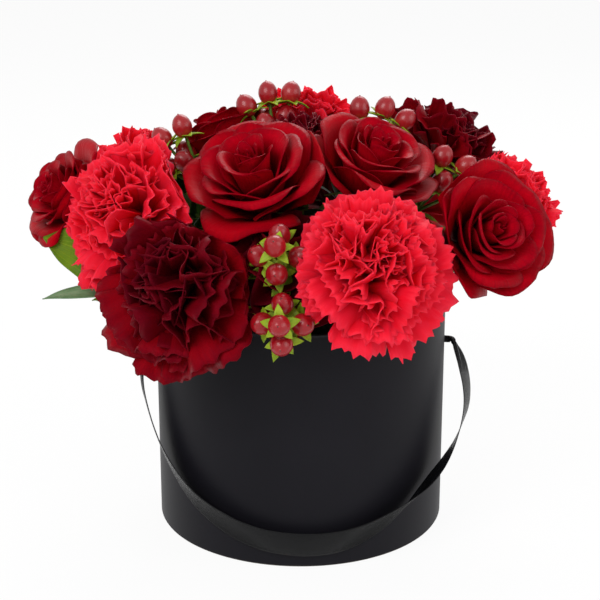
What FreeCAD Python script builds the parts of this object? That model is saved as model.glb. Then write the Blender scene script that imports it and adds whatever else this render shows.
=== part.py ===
import FreeCAD, Part
import math
import os

import Mesh
import Sketcher
from FreeCAD import Placement, Rotation, Vector

# Driving dimensions in millimetres
SIZES = {
    "box_diameter": 160.0,
    "box_height": 130.0,
    "board_thickness": 2.0,
    "wrap_thickness": 0.3,
    "wrap_turn_in": 20.0,
    "wrap_foot_gap": 0.5,
    "base_thickness": 2.5,
    "base_clearance": 0.1,
    "base_chamfer": 0.6,
    "hole_drop": 30.0,
    "neck_diameter": 4.2,
    "neck_clearance": 0.1,
    "neck_stand_off": 3.0,
    "knot_length": 7.0,
    "knot_diameter": 10.0,
    "knot_wall_gap": 0.3,
    "ribbon_width": 15.0,
    "ribbon_thickness": 0.6,
    "liner_wall": 0.8,
    "liner_side_gap": 11.0,
    "liner_foot_taper": 9.0,
    "liner_rim_drop": 9.0,
    "liner_lip_thickness": 1.2,
    "liner_lip_clearance": 0.6,
    "foam_clearance": 0.3,
    "foam_rise": 36.0,
    "foam_chamfer": 30.0,
    "focus_drop": 15.0,
    "stem_depth_gap": 26.0,
    "stem_clearance": 0.15,
    "rim_clearance": 2.0,
    "bloom_clearance": 1.0,
    "crown_reach": 100.0,
    "tuft_reach": 92.0,
    "shoulder_reach": 116.0,
    "skirt_reach": 104.0,
    "side_reach": 124.0,
    "far_reach": 145.0,
    "sprig_reach": 110.0,
    "rose_large_radius": 40.0,
    "rose_medium_radius": 34.0,
    "rose_small_radius": 28.0,
    "rose_stem_diameter": 5.0,
    "rose_hip_diameter": 12.0,
    "rose_hip_length": 11.0,
    "rose_petal_thickness": 0.9,
    "rose_sepal_length": 19.0,
    "rose_sepal_width": 7.0,
    "carnation_full_radius": 46.0,
    "carnation_large_radius": 42.0,
    "carnation_medium_radius": 35.0,
    "carnation_small_radius": 28.0,
    "carnation_tuft_radius": 24.0,
    "carnation_stem_diameter": 4.0,
    "carnation_calyx_diameter": 11.0,
    "carnation_calyx_length": 20.0,
    "carnation_petal_thickness": 0.8,
    "berry_diameter": 11.6,
    "berry_length": 13.5,
    "berry_gap": 0.25,
    "sprig_head_radius": 13.4,
    "sprig_wide_head_radius": 16.0,
    "sprig_fork_length": 24.0,
    "sprig_stem_diameter": 2.8,
    "sprig_branch_diameter": 1.6,
    "sprig_sepal_radius": 4.2,
    "sprig_sepal_thickness": 0.6,
    "broad_leaf_length": 52.0,
    "broad_leaf_width": 30.0,
    "blade_leaf_length": 56.0,
    "blade_leaf_width": 11.0,
    "small_leaf_length": 30.0,
    "small_leaf_width": 14.0,
    "leaf_thickness": 0.8,
    "leaf_bend_radius": 110.0,
    "petiole_diameter": 2.6,
    "petiole_depth_gap": 46.0,
}

# Where each bloom looks from the focus in the foam: its size and reach, azimuth from +X and lean from upright
ROSES = {
    "rose_front_left": ("rose_large_radius", "crown_reach", -120, 28),
    "rose_front_right": ("rose_medium_radius", "crown_reach", -33, 26),
    "rose_right": ("rose_medium_radius", "side_reach", -21, 61),
    "rose_back_left": ("rose_small_radius", "skirt_reach", 141, 32),
    "rose_left": ("rose_small_radius", "far_reach", 180, 62),
    "rose_back": ("rose_medium_radius", "skirt_reach", 112, 64),
}
CARNATIONS = {
    "carnation_front": ("carnation_large_radius", "skirt_reach", -67, 61),
    "carnation_left": ("carnation_medium_radius", "shoulder_reach", -154, 55),
    "carnation_right": ("carnation_medium_radius", "side_reach", 9, 63),
    "carnation_top": ("carnation_medium_radius", "skirt_reach", 86, 34),
    "carnation_back_left": ("carnation_small_radius", "side_reach", 156, 57),
    "carnation_back_right": ("carnation_medium_radius", "skirt_reach", 46, 66),
    "burgundy_front": ("carnation_full_radius", "skirt_reach", -129, 68),
    "burgundy_right": ("carnation_medium_radius", "shoulder_reach", 23, 46),
    "burgundy_top": ("carnation_tuft_radius", "tuft_reach", 90, 4),
    "burgundy_back": ("carnation_medium_radius", "skirt_reach", 79, 67),
}
SPRIGS = {
    "sprig_left": ("sprig_head_radius", "sprig_reach", 172, 38),
    "sprig_top_left": ("sprig_head_radius", "sprig_reach", 122, 16),
    "sprig_top_right": ("sprig_head_radius", "sprig_reach", 10, 22),
    "sprig_right": ("sprig_head_radius", "sprig_reach", -4, 46),
    "sprig_front_low": ("sprig_wide_head_radius", "sprig_reach", -95, 74),
    "sprig_front_high": ("sprig_wide_head_radius", "sprig_reach", -97, 56),
}
# Each leaf: its sizes, azimuth, lean, turn of the blade about its own line, and where the blade starts beyond the rim
LEAVES = {
    "broad_leaf": ("broad_leaf", -165, 69, 8, 12),
    "blade_leaf": ("blade_leaf", -159, 76, 60, 8),
    "small_leaf": ("small_leaf", -152, 76, 130, 14),
}

# The ribbon's line from the left hole round the front to the right hole:
# azimuth, stand-off from the wall, share of the hole's height, lean of the width outwards, share of the full width
RIBBON_ROUTE = [
    (-179.2, 6.6, 0.970, 0, 0.45),
    (-174, 8.2, 0.915, -3, 0.75),
    (-169, 8.8, 0.820, 2, 0.95),
    (-164, 8.2, 0.735, 10, 1),
    (-159.3, 6.8, 0.635, 16, 1),
    (-153.5, 5.8, 0.548, 22, 1),
    (-147.5, 5.0, 0.467, 24, 1),
    (-140.3, 4.8, 0.392, 25, 1),
    (-132.5, 4.9, 0.325, 25, 1),
    (-125.5, 4.8, 0.275, 23, 1),
    (-119, 4.4, 0.235, 20, 1),
    (-112, 4.2, 0.199, 18, 1),
    (-102, 4.1, 0.166, 15, 1),
    (-89.5, 4.2, 0.151, 13, 1),
    (-77.8, 4.3, 0.156, 16, 1),
    (-67.3, 4.8, 0.187, 24, 1),
    (-57, 5.5, 0.241, 33, 1),
    (-48.5, 6.4, 0.299, 44, 1),
    (-40.7, 7.2, 0.355, 53, 1),
    (-33.3, 7.8, 0.410, 51, 1),
    (-26.6, 9.2, 0.472, 38, 1),
    (-20.6, 11.2, 0.548, 21, 1),
    (-15.8, 12.8, 0.630, 7, 1),
    (-12.2, 13.6, 0.704, -6, 1),
    (-9.4, 13.0, 0.775, -14, 1),
    (-6.8, 11.4, 0.845, -20, 1),
    (-4.6, 9.4, 0.905, -22, 0.9),
    (-2.6, 7.2, 0.955, -18, 0.7),
    (-1.1, 5.0, 0.990, -8, 0.45),
]

GOLDEN_ANGLE = 180 * (3 - math.sqrt(5))
ROSE_PETALS = 14
CARNATION_PLEATS = 14
# Outer to inner skirts of a carnation, as shares of its radius: rim radius, rim height, foot height
CARNATION_SKIRTS = [
    (1.00, 0.26, 0.00),
    (0.90, 0.50, 0.10),
    (0.74, 0.70, 0.20),
    (0.54, 0.84, 0.32),
    (0.30, 0.94, 0.46),
]
ROSE_BACK_SHARE = 0.58
SEPALS = 5

doc = FreeCAD.newDocument("flower_box")
sheet = doc.addObject("Spreadsheet::Sheet", "Sizes")
for row, (alias, number) in enumerate(SIZES.items(), 1):
    sheet.set(f"A{row}", alias)
    sheet.set(f"B{row}", str(number))
    sheet.setAlias(f"B{row}", alias)
doc.recompute()


def size(alias):
    return float(sheet.get(alias))


wall_radius = size("box_diameter") / 2
wrap_radius = wall_radius + size("wrap_thickness")
inner_radius = wall_radius - size("board_thickness")
hole_height = size("box_height") - size("hole_drop")
focus = Vector(0, 0, size("box_height") - size("focus_drop"))

parts = {}


# Small makers shared by the pieces
def keep(name, thing):
    thing.Label = name
    parts[name] = thing
    return thing


def bind(thing, **expressions):
    for prop, expression in expressions.items():
        thing.setExpression(prop, expression)
    return thing


def shaped(name, shape, place=None):
    piece = doc.addObject("Part::Feature", name)
    piece.Shape = shape
    piece.Placement = place or Placement()
    return keep(name, piece)


def origin_plane(body, role):
    return next(f for f in body.Origin.OriginFeatures if f.Role == role)


def new_sketch(body, name, role):
    sketch = body.newObject("Sketcher::SketchObject", name)
    sketch.AttachmentSupport = (origin_plane(body, role), [""])
    sketch.MapMode = "FlatFace"
    return sketch


def bound_circle(sketch, radius, height=None):
    ring = sketch.addGeometry(Part.Circle(Vector(0, 1, 0), Vector(0, 0, 1), 1))
    if height is None:
        sketch.addConstraint(Sketcher.Constraint("Coincident", ring, 3, -1, 1))
    else:
        sketch.addConstraint(Sketcher.Constraint("PointOnObject", ring, 3, -2))
        lift = sketch.addConstraint(Sketcher.Constraint("DistanceY", -1, 1, ring, 3, 1))
        sketch.setExpression(f"Constraints[{lift}]", height)
    wide = sketch.addConstraint(Sketcher.Constraint("Radius", ring, 1))
    sketch.setExpression(f"Constraints[{wide}]", radius)


def bound_outline(sketch, corners):
    count = len(corners)
    spots = [Vector(i + 1, (i + 1) ** 2, 0) for i in range(count)]
    for i in range(count):
        sketch.addGeometry(Part.LineSegment(spots[i], spots[(i + 1) % count]))
    for i in range(count):
        sketch.addConstraint(Sketcher.Constraint("Coincident", i, 2, (i + 1) % count, 1))
    for i, corner in enumerate(corners):
        for kind, axis, expression in zip(("DistanceX", "DistanceY"), (-2, -1), corner):
            if expression == "0":
                sketch.addConstraint(Sketcher.Constraint("PointOnObject", i, 1, axis))
            else:
                held = sketch.addConstraint(Sketcher.Constraint(kind, -1, 1, i, 1, 1))
                sketch.setExpression(f"Constraints[{held}]", expression)


def revolved_body(name, corners):
    body = doc.addObject("PartDesign::Body", name)
    sketch = new_sketch(body, name + "_profile", "XZ_Plane")
    bound_outline(sketch, corners)
    turn = body.newObject("PartDesign::Revolution", name + "_turn")
    turn.Profile = sketch
    turn.ReferenceAxis = (sketch, ["V_Axis"])
    turn.Angle = 360
    return body


def pierce_sides(body):
    sketch = new_sketch(body, body.Name + "_holes_sketch", "YZ_Plane")
    bound_circle(sketch, "Sizes.neck_diameter / 2 + Sizes.neck_clearance", "Sizes.box_height - Sizes.hole_drop")
    holes = body.newObject("PartDesign::Pocket", body.Name + "_holes")
    holes.Profile = sketch
    holes.Midplane = True
    bind(holes, Length="Sizes.box_diameter * 2")
    before = body.Shape.Volume if body.Shape.Solids else 0
    doc.recompute()
    print(body.Name, "holes take", round(before - body.Shape.Volume, 1), "mm3")


def arc_edge(start, middle, end):
    return Part.Arc(start, middle, end).toShape()


def line_edge(start, end):
    return Part.LineSegment(start, end).toShape()


def turned(edges, angle=360, start=0):
    face = Part.Face(Part.Wire(edges))
    if start:
        face.rotate(Vector(), Vector(0, 0, 1), start)
    return face.revolve(Vector(), Vector(0, 0, 1), angle)


def turned_polygon(corners):
    spots = [Vector(across, 0, up) for across, up in corners]
    return turned([line_edge(a, b) for a, b in zip(spots, spots[1:] + spots[:1])])


def rod(diameter, start, end):
    along = end - start
    return Part.makeCylinder(diameter / 2, along.Length, start, along)


def heading(azimuth, lean, spin=0):
    upright = Vector(0, 0, 1)
    return Rotation(upright, azimuth) * Rotation(Vector(0, 1, 0), lean) * Rotation(upright, spin)


def from_focus(azimuth, lean, spin=0):
    return Placement(focus, heading(azimuth, lean, spin))


# How far from the focus a flower stands: its own reach, or more where its back must clear the rim
def reach_of(reach, lean, back):
    tilt = math.radians(lean)
    rim = wrap_radius * math.sin(tilt) + size("focus_drop") * math.cos(tilt)
    return max(size(reach), rim + back + size("rim_clearance"))


def leaf_root(lean, start):
    return wrap_radius / math.sin(math.radians(lean)) + start


# The line each flower stands on, the half-angle it fills, and whether it gives way to its neighbours
def line_up():
    lines = {}
    gap = size("bloom_clearance")
    for name, (grade, reach, azimuth, lean) in {**ROSES, **CARNATIONS, **SPRIGS}.items():
        half = math.atan((size(grade) + gap) / size(reach))
        lines[name] = (heading(azimuth, lean), half, name not in SPRIGS)
    for name, (sizes, azimuth, lean, _, start) in LEAVES.items():
        middle = leaf_root(lean, start) + size(sizes + "_length") / 2
        half = math.atan((0.4 * size(sizes + "_width") + gap) / middle)
        lines[name] = (heading(azimuth, lean), half, False)
    return lines


# Planes through the focus between a bloom and its neighbours, as normals in the bloom's own frame
def sides_of(name, lines):
    turn, half, _ = lines[name]
    upright = Vector(0, 0, 1)
    sides = []
    for other, (away, other_half, soft) in lines.items():
        line = (turn.inverted() * away).multVec(upright)
        apart = line.getAngle(upright)
        own = apart * half / (half + other_half) if soft else apart - other_half
        if other != name and own < 1.4 * half:
            across = Vector(line.x, line.y, 0).normalize()
            sides.append(across * math.cos(own) - upright * math.sin(own))
    return sides


# The box
def make_wall():
    body = doc.addObject("PartDesign::Body", "box_wall")
    sketch = new_sketch(body, "box_wall_ring", "XY_Plane")
    bound_circle(sketch, "Sizes.box_diameter / 2")
    bound_circle(sketch, "Sizes.box_diameter / 2 - Sizes.board_thickness")
    pad = body.newObject("PartDesign::Pad", "box_wall_pad")
    pad.Profile = sketch
    bind(pad, Length="Sizes.box_height")
    doc.recompute()
    pierce_sides(body)
    keep("box_wall", body)


def make_wrap():
    outside = "Sizes.box_diameter / 2"
    inside = f"{outside} - Sizes.board_thickness"
    top = "Sizes.box_height"
    skin = "Sizes.wrap_thickness"
    body = revolved_body("outer_wrap", [
        (outside, "Sizes.wrap_foot_gap"),
        (f"{outside} + {skin}", "Sizes.wrap_foot_gap"),
        (f"{outside} + {skin}", f"{top} + {skin}"),
        (f"{inside} - {skin}", f"{top} + {skin}"),
        (f"{inside} - {skin}", f"{top} - Sizes.wrap_turn_in"),
        (inside, f"{top} - Sizes.wrap_turn_in"),
        (inside, top),
        (outside, top),
    ])
    doc.recompute()
    pierce_sides(body)
    keep("outer_wrap", body)


def make_base():
    body = doc.addObject("PartDesign::Body", "box_base")
    sketch = new_sketch(body, "box_base_disc", "XY_Plane")
    bound_circle(sketch, "Sizes.box_diameter / 2 - Sizes.board_thickness - Sizes.base_clearance")
    pad = body.newObject("PartDesign::Pad", "box_base_pad")
    pad.Profile = sketch
    bind(pad, Length="Sizes.base_thickness")
    doc.recompute()
    upper = max(range(len(pad.Shape.Faces)), key=lambda i: pad.Shape.Faces[i].CenterOfMass.z)
    edge = body.newObject("PartDesign::Chamfer", "box_base_chamfer")
    edge.Base = (pad, [f"Face{upper + 1}"])
    bind(edge, Size="Sizes.base_chamfer")
    keep("box_base", body)


# The handle: a ribbon gathered into a round neck at each hole, and a knot inside each
def route_frames():
    ends = [(-180, size("neck_stand_off"), 1, 0, 0.3), (0, size("neck_stand_off"), 1, 0, 0.3)]
    route = ends[:1] + RIBBON_ROUTE + ends[1:]
    spots = []
    for azimuth, gap, share, _, _ in route:
        out = Rotation(Vector(0, 0, 1), azimuth).multVec(Vector(1, 0, 0))
        spots.append(out * (wrap_radius + gap) + Vector(0, 0, hole_height * share))
    frames = []
    for i, (azimuth, _, _, lean, share) in enumerate(route):
        out = Rotation(Vector(0, 0, 1), azimuth).multVec(Vector(1, 0, 0))
        along = (spots[min(i + 1, len(spots) - 1)] - spots[max(i - 1, 0)]).normalize()
        if i in (0, len(route) - 1):
            along = out * (1 if i == 0 else -1)
            out = Vector(0, 0, 1) * (1 if i == 0 else -1)
            across = Vector(0, -1, 0)
        else:
            out = (out - along * out.dot(along)).normalize()
            up = out.cross(along)
            tilt = math.radians(lean)
            across = up * math.cos(tilt) + out * math.sin(tilt)
        frames.append((spots[i], along, across, share * size("ribbon_width")))
    return frames


def make_ribbon():
    half_thick = size("ribbon_thickness") / 2
    frames = route_frames()
    sections = []
    for spot, along, across, width in frames:
        face_way = across.cross(along).normalize()
        corners = [
            spot + across * (width / 2 * side) + face_way * (half_thick * face)
            for side, face in ((-1, -1), (1, -1), (1, 1), (-1, 1))
        ]
        sections.append(Part.makePolygon(corners + corners[:1]))
    band = Part.makeLoft(sections, True, True)
    inside = inner_radius - size("wrap_thickness") - size("knot_wall_gap") - size("knot_length")
    outside = wrap_radius + size("neck_stand_off")
    lengths = [here[0].distanceToPoint(there[0]) for here, there in zip(frames, frames[1:])]
    print("ribbon runs", round(sum(lengths), 1), "mm between the necks")
    necks = [
        rod(size("neck_diameter"), Vector(side * inside, 0, hole_height), Vector(side * outside, 0, hole_height))
        for side in (-1, 1)
    ]
    shaped("ribbon_handle", band.fuse(necks).removeSplitter())


def make_knot(name, side):
    knot = bind(
        doc.addObject("Part::Ellipsoid", name + "_lump"),
        Radius1="Sizes.knot_length / 2",
        Radius2="Sizes.knot_diameter / 2",
        Radius3="Sizes.knot_diameter / 2",
    )
    bore = bind(
        doc.addObject("Part::Cylinder", name + "_bore"),
        Radius="Sizes.neck_diameter / 2 + Sizes.neck_clearance / 2",
        Height="Sizes.knot_length * 2",
    )
    bind(bore, **{"Placement.Base.z": "-Sizes.knot_length"})
    cut = doc.addObject("Part::Cut", name)
    cut.Base = knot
    cut.Tool = bore
    cut.Placement = Placement(Vector(), Rotation(Vector(0, 1, 0), 90))
    inset = "(Sizes.box_diameter / 2 - Sizes.board_thickness - Sizes.wrap_thickness"
    inset += " - Sizes.knot_wall_gap - Sizes.knot_length / 2)"
    bind(cut, **{"Placement.Base.x": f"{side} * {inset}"})
    bind(cut, **{"Placement.Base.z": "Sizes.box_height - Sizes.hole_drop"})
    keep(name, cut)


# The insert: liner pot and foam
def make_liner():
    side = "Sizes.box_diameter / 2 - Sizes.board_thickness - Sizes.liner_side_gap"
    foot = f"{side} - Sizes.liner_foot_taper"
    floor = "Sizes.base_thickness"
    top = "Sizes.box_height - Sizes.liner_rim_drop"
    lip = "Sizes.box_diameter / 2 - Sizes.board_thickness - Sizes.wrap_thickness - Sizes.liner_lip_clearance"
    body = revolved_body("liner_pot", [
        ("0", floor),
        (foot, floor),
        (side, f"{top} - Sizes.liner_lip_thickness"),
        (lip, f"{top} - Sizes.liner_lip_thickness"),
        (lip, top),
        (f"{side} - Sizes.liner_wall", top),
        (f"{foot} - Sizes.liner_wall", f"{floor} + Sizes.liner_wall"),
        ("0", f"{floor} + Sizes.liner_wall"),
    ])
    keep("liner_pot", body)


def make_foam(drills):
    side = "Sizes.box_diameter / 2 - Sizes.board_thickness - Sizes.liner_side_gap"
    inset = "Sizes.liner_wall - Sizes.foam_clearance"
    floor = "Sizes.base_thickness + Sizes.liner_wall"
    liner_top = "Sizes.box_height - Sizes.liner_rim_drop"
    top = "Sizes.box_height + Sizes.foam_rise"
    body = revolved_body("foam_blank", [
        ("0", floor),
        (f"{side} - Sizes.liner_foot_taper - {inset}", floor),
        (f"{side} - {inset}", liner_top),
        (f"{side} - {inset}", f"{top} - Sizes.foam_chamfer"),
        (f"{side} - {inset} - Sizes.foam_chamfer", top),
        ("0", top),
    ])
    holes = doc.addObject("Part::Feature", "stem_holes")
    holes.Shape = Part.makeCompound(drills)
    foam = doc.addObject("Part::Cut", "foam_block")
    foam.Base = body
    foam.Tool = holes
    keep("foam_block", foam)


def drill(diameter, gap, place):
    hole = rod(
        diameter + 2 * size("stem_clearance"),
        Vector(0, 0, gap - size("stem_clearance")),
        Vector(0, 0, size("box_diameter") + size("box_height")),
    )
    hole.Placement = place
    return hole


# A rose: cupped petals on a golden spiral round a short spindle, each cut to a round edge by a ball,
# and pressed flat where it meets its neighbours
def rose_bloom(radius, base, sides):
    thick = size("rose_petal_thickness")
    spindle = 0.11 * radius
    pieces = [Part.makeCylinder(spindle, 0.62 * radius, Vector(0, 0, base))]
    for i in range(ROSE_PETALS):
        share = i / (ROSE_PETALS - 1)
        rim = radius * (0.17 + 0.83 * share ** 0.9) - thick
        top = base + radius * (1.22 - (1.22 - ROSE_BACK_SHARE) * share ** 2)
        foot = base + radius * (0.50 - 0.46 * share)
        half_sector = 75 - 17 * share
        inside = spindle * 0.6
        bulge = 0.20 - 0.06 * share
        chord = Vector(rim - inside, 0, top - foot)
        middle = Vector(inside, 0, foot) + chord * 0.5 + Vector(chord.z, 0, -chord.x) * bulge
        corners = [Vector(inside, 0, foot), middle, Vector(rim, 0, top)]
        shift = Vector(-0.75, 0, 0.66) * thick
        inner = [c + shift for c in corners]
        shell = turned([
            arc_edge(*corners),
            line_edge(corners[2], inner[2]),
            arc_edge(*reversed(inner)),
            line_edge(inner[0], corners[0]),
        ], 2 * half_sector, -half_sector)
        centre = Vector(0.42 * rim, 0, foot + 0.45 * (top - foot))
        turn = Rotation(Vector(0, 0, 1), i * GOLDEN_ANGLE)
        room = petal_room(centre, centre.distanceToPoint(Vector(rim, 0, top)), turn.inverted(), sides)
        petal = shell.common(room)
        petal.Placement = Placement(Vector(), turn)
        pieces.append(petal)
    bloom = pieces[0].fuse(pieces[1:])
    return max(bloom.Solids, key=lambda solid: solid.Volume)


# The ball that rounds a petal's edge, less what lies beyond the planes to the neighbours
def petal_room(centre, reach, turn, sides):
    room = Part.makeSphere(reach, centre)
    for side in sides:
        normal = turn.multVec(side)
        out = normal.dot(centre) + size("bloom_clearance") / 2
        if out > -reach:
            beyond = Part.makeBox(6 * reach, 6 * reach, 6 * reach, Vector(-3 * reach, -3 * reach, 0))
            beyond.Placement = Placement(centre - normal * out, Rotation(Vector(0, 0, 1), normal))
            room = room.cut(beyond)
    return room


def rose_stem(base):
    hip = size("rose_hip_diameter") / 2
    stem = size("rose_stem_diameter") / 2
    low = base - size("rose_hip_length")
    sides = [Vector(stem, 0, low), Vector(hip, 0, (low + 2 * base) / 3), Vector(0.6 * hip, 0, base)]
    cup = turned([
        arc_edge(*sides),
        line_edge(sides[2], Vector(0, 0, base)),
        line_edge(Vector(0, 0, base), Vector(0, 0, low)),
        line_edge(Vector(0, 0, low), sides[0]),
    ])
    shaft = rod(2 * stem, Vector(0, 0, size("stem_depth_gap")), Vector(0, 0, low))
    thick = size("rose_petal_thickness")
    long, wide = size("rose_sepal_length"), size("rose_sepal_width")
    blade = [Vector(0.4 * hip, -wide / 2, 0), Vector(long, 0, 0), Vector(0.4 * hip, wide / 2, 0)]
    sepals = []
    for i in range(SEPALS):
        sepal = Part.Face(Part.makePolygon(blade + blade[:1])).extrude(Vector(0, 0, thick))
        sepal.translate(Vector(0, 0, base - 2 * thick))
        sepal.rotate(Vector(0, 0, base), Vector(0, 1, 0), 12)
        sepal.rotate(Vector(), Vector(0, 0, 1), i * 360 / SEPALS)
        sepals.append(sepal)
    return shaft.fuse([cup] + sepals).removeSplitter()


# A carnation: pleated skirts with notched rims, stacked on one hub, as one closed skin of flat facets
# drawn in where it meets its neighbours
def carnation_bloom(radius, base, sides):
    count = 2 * CARNATION_PLEATS
    hub = size("carnation_calyx_diameter") / 2 - size("carnation_petal_thickness")
    half = size("carnation_petal_thickness") / 2

    def ring(across, up, ruffle, shift):
        spots = []
        for k in range(count):
            turn = 2 * math.pi * (k + 0.5 * shift) / count
            fold = 1 if k % 2 else -1
            high = base + up + fold * ruffle * 0.45 * across
            out = Vector(math.cos(turn), math.sin(turn), 0)
            room = across * (1 - 0.5 * ruffle * (k % 4 == 0))
            for normal in sides:
                if normal.dot(out) > 0:
                    room = min(room, (-normal.z * high - size("bloom_clearance") / 2) / normal.dot(out))
            spots.append(out * room + Vector(0, 0, high))
        return spots

    rings = []
    for j, (rim, lift, foot) in enumerate(CARNATION_SKIRTS):
        rings.append(ring(hub, foot * radius, 0, j))
        rings.append(ring(rim * radius, lift * radius - half, 0.13, j))
        rings.append(ring(rim * radius, lift * radius + half, 0.13, j))
        next_foot = CARNATION_SKIRTS[min(j + 1, len(CARNATION_SKIRTS) - 1)][2]
        rings.append(ring(0.55 * rim * radius, (0.55 * lift + 0.45 * next_foot) * radius + 2 * half, 0.06, j))
    floor, tip = Vector(0, 0, base), Vector(0, 0, base + 0.72 * radius)
    facets = []
    for k in range(count):
        m = (k + 1) % count
        facets.append((floor, rings[0][m], rings[0][k]))
        facets.append((rings[-1][k], rings[-1][m], tip))
        for low, high in zip(rings, rings[1:]):
            facets.append((low[k], low[m], high[m]))
            facets.append((low[k], high[m], high[k]))
    skin = Part.Shape()
    mesh = Mesh.Mesh([list(map(tuple, facet)) for facet in facets])
    skin.makeShapeFromMesh(mesh.Topology, 0.001, True)
    return Part.makeSolid(skin)


def carnation_stem(base):
    stem = size("carnation_stem_diameter") / 2
    cup = size("carnation_calyx_diameter") / 2
    low = base - size("carnation_calyx_length")
    calyx = turned_polygon([
        (0, low),
        (0.75 * cup, low),
        (0.9 * cup, low + 0.35 * (base - low)),
        (cup, base),
        (0, base),
    ])
    shaft = rod(2 * stem, Vector(0, 0, size("stem_depth_gap")), Vector(0, 0, low))
    return shaft.fuse(calyx).removeSplitter()


# A hypericum sprig: a ring of berries and one on top, each on its own branch and star of sepals
def berry_lines(head, reach):
    fork = Vector(0, 0, reach - size("sprig_fork_length"))
    ring = head - size("berry_diameter") / 2
    room = size("berry_diameter") / 2 + size("berry_gap")
    count = int(math.pi / math.asin(room / ring))
    tips = [Vector(0, 0, reach + size("berry_length") * 1.05)]
    for i in range(count):
        turn = 2 * math.pi * i / count
        drop = size("berry_length") * 0.2 * (i % 2)
        tips.append(Vector(ring * math.cos(turn), ring * math.sin(turn), reach - drop))
    return fork, [(tip, (tip - fork).normalize()) for tip in tips]


def berry(centre, along):
    wide, long = size("berry_diameter") / 2, size("berry_length")
    outline = [(0.25, 0), (0.82, 0.16), (1, 0.45), (0.72, 0.78), (0.12, 0.96)]
    spots = [Vector(wide * across, 0, long * up) for across, up in outline]
    side = Part.BSplineCurve()
    side.interpolate(spots)
    body = turned([
        side.toShape(),
        line_edge(spots[-1], Vector(0, 0, long)),
        line_edge(Vector(0, 0, long), Vector()),
        line_edge(Vector(), spots[0]),
    ])
    body.Placement = Placement(centre - along * (long / 2), Rotation(Vector(0, 0, 1), along))
    return body


def star(seat, along):
    outer, thick = size("sprig_sepal_radius"), size("sprig_sepal_thickness")
    corners = []
    for k in range(2 * SEPALS):
        turn = math.pi * k / SEPALS
        across = outer if k % 2 == 0 else 0.45 * outer
        corners.append(Vector(across * math.cos(turn), across * math.sin(turn), -thick))
    flat = Part.Face(Part.makePolygon(corners + corners[:1])).extrude(Vector(0, 0, thick))
    flat.Placement = Placement(seat, Rotation(Vector(0, 0, 1), along))
    return flat


def sprig(name, head, reach, place):
    fork, lines = berry_lines(head, reach)
    half = size("berry_length") / 2
    thick = size("sprig_branch_diameter")
    stem = rod(size("sprig_stem_diameter"), Vector(0, 0, size("stem_depth_gap")), fork)
    green = [Part.makeSphere(size("sprig_stem_diameter") / 2, fork)]
    for centre, along in lines:
        seat = centre - along * half
        green += [rod(thick, fork, seat - along * size("sprig_sepal_thickness") / 2), star(seat, along)]
    shaped(name + "_stem", stem.fuse(green).removeSplitter(), place)
    shaped(name + "_berries", Part.makeCompound([berry(*line) for line in lines]), place)


# A leaf: a pointed outline cut from a thin shell that bends along its length, on its petiole
def leaf(sizes, root):
    long, wide = size(sizes + "_length"), size(sizes + "_width")
    thick, bend = size("leaf_thickness"), size("leaf_bend_radius")
    ends = Vector(0, -bend, root), Vector(0, -bend, root + long)
    edges = [
        arc_edge(ends[0], Vector(wide / 2, -bend, root + 0.45 * long), ends[1]),
        arc_edge(ends[1], Vector(-wide / 2, -bend, root + 0.45 * long), ends[0]),
    ]
    prism = Part.Face(Part.Wire(edges)).extrude(Vector(0, 2 * bend, 0))
    pipe = [
        Part.makeCylinder(bend + out, 2 * wide, Vector(-wide, -bend, root), Vector(1, 0, 0))
        for out in (thick / 2, -thick / 2)
    ]
    blade = prism.common(pipe[0].cut(pipe[1]))
    grip = rod(
        size("petiole_diameter"), Vector(0, 0, size("petiole_depth_gap")), Vector(0, 0, root + 0.12 * long)
    )
    return grip.fuse(blade).removeSplitter()


def make_flowers():
    drills = []
    lines = line_up()
    for name, (grade, reach, azimuth, lean) in ROSES.items():
        radius = size(grade)
        back = ROSE_BACK_SHARE * radius
        base = reach_of(reach, lean, back) - back
        place = from_focus(azimuth, lean)
        shaped(name + "_bloom", rose_bloom(radius, base, sides_of(name, lines)), place)
        shaped(name + "_stem", rose_stem(base), place)
        drills.append(drill(size("rose_stem_diameter"), size("stem_depth_gap"), place))
    for name, (grade, reach, azimuth, lean) in CARNATIONS.items():
        radius = size(grade)
        back = CARNATION_SKIRTS[0][1] * radius
        base = reach_of(reach, lean, back) - back
        place = from_focus(azimuth, lean)
        shaped(name + "_bloom", carnation_bloom(radius, base, sides_of(name, lines)), place)
        shaped(name + "_stem", carnation_stem(base), place)
        drills.append(drill(size("carnation_stem_diameter"), size("stem_depth_gap"), place))
    for name, (grade, reach, azimuth, lean) in SPRIGS.items():
        head = size(grade)
        place = from_focus(azimuth, lean)
        sprig(name, head, reach_of(reach, lean, head), place)
        drills.append(drill(size("sprig_stem_diameter"), size("stem_depth_gap"), place))
    for name, (sizes, azimuth, lean, spin, start) in LEAVES.items():
        place = from_focus(azimuth, lean, spin)
        shaped(name, leaf(sizes, leaf_root(lean, start)), place)
        drills.append(drill(size("petiole_diameter"), size("petiole_depth_gap"), place))
    return drills


make_wall()
make_wrap()
make_base()
make_ribbon()
make_knot("left_knot", -1)
make_knot("right_knot", 1)
make_liner()
make_foam(make_flowers())
doc.recompute()

for thing in doc.Objects:
    if "Invalid" in thing.State or "Error" in thing.State:
        raise RuntimeError(f"{thing.Label} failed: {thing.State}")
for name, piece in parts.items():
    if piece.Shape.isNull() or not piece.Shape.isValid() or not piece.Shape.Solids:
        raise RuntimeError(f"{name} has no valid solid")

os.makedirs("parts", exist_ok=True)
for name, piece in parts.items():
    piece.Shape.exportStep(f"parts/{name}.step")
print(len(parts), "pieces written")
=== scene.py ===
import math
import random
from collections import namedtuple

import bmesh
import bpy
import numpy as np
from mathutils import Matrix, Vector


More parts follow.
